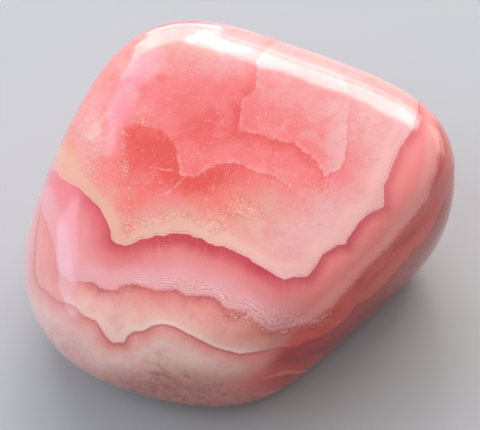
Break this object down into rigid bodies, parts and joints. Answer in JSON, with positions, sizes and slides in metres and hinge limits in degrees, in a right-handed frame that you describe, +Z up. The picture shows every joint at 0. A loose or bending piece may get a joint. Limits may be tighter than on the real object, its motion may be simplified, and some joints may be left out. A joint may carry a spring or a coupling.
{
  "type": "tumbled rhodochrosite stone",
  "caption": "Palm-size tumble-polished banded pink mineral pebble with worn rounded faces, a sloping broad top and a flat resting side.",
  "frame": {"origin": "centre of the stone's box, on the plane it rests on", "axes": "+Z up from the resting side to the broad top, the stone's smallest extent; +X along its longest extent; +Y away from the side that the broad top slopes down to"},
  "size_m": [0.0422, 0.0388, 0.023],
  "materials": {
    "stone": "tumble-polished glossy banded rhodochrosite, slightly translucent"
  },
  "bodies": {
    "root": {"stone": "stone"}
  },
  "joints": []
}
